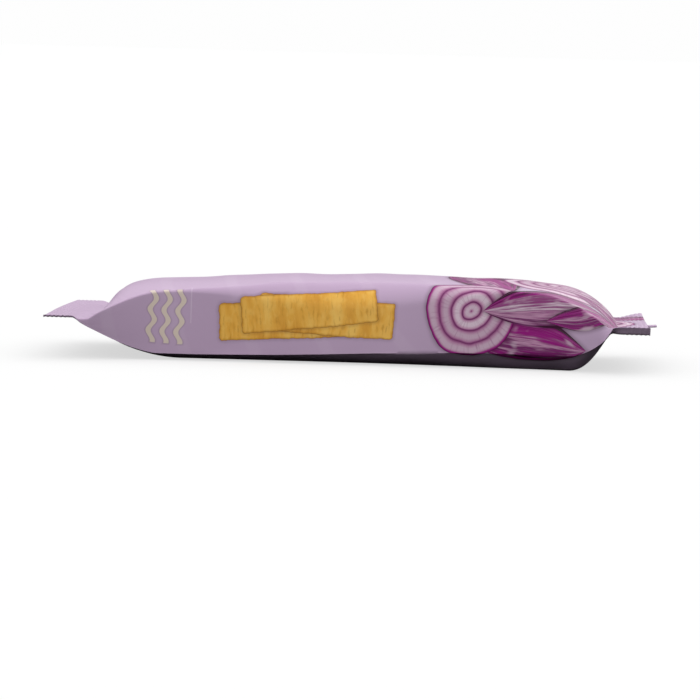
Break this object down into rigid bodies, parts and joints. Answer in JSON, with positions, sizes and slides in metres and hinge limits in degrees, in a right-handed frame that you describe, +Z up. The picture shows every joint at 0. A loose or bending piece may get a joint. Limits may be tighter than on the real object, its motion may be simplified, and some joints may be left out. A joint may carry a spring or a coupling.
{
  "type": "bag of crisps",
  "caption": "Sealed long bag of flat crisps in printed film, lying on its back, with a flat ribbed seal at each end and a seam along the underside.",
  "frame": {"origin": "on the surface that the bag lies on, under the middle of its length and width", "axes": "+X along the bag, from its top seal to its bottom seal; +Z up, through the back and out of the printed front"},
  "size_m": [0.283, 0.112, 0.0384],
  "materials": {
    "printed_film": "satin printed polypropylene film, lilac ground"
  },
  "bodies": {
    "root": {"bag": "printed_film"}
  },
  "joints": []
}
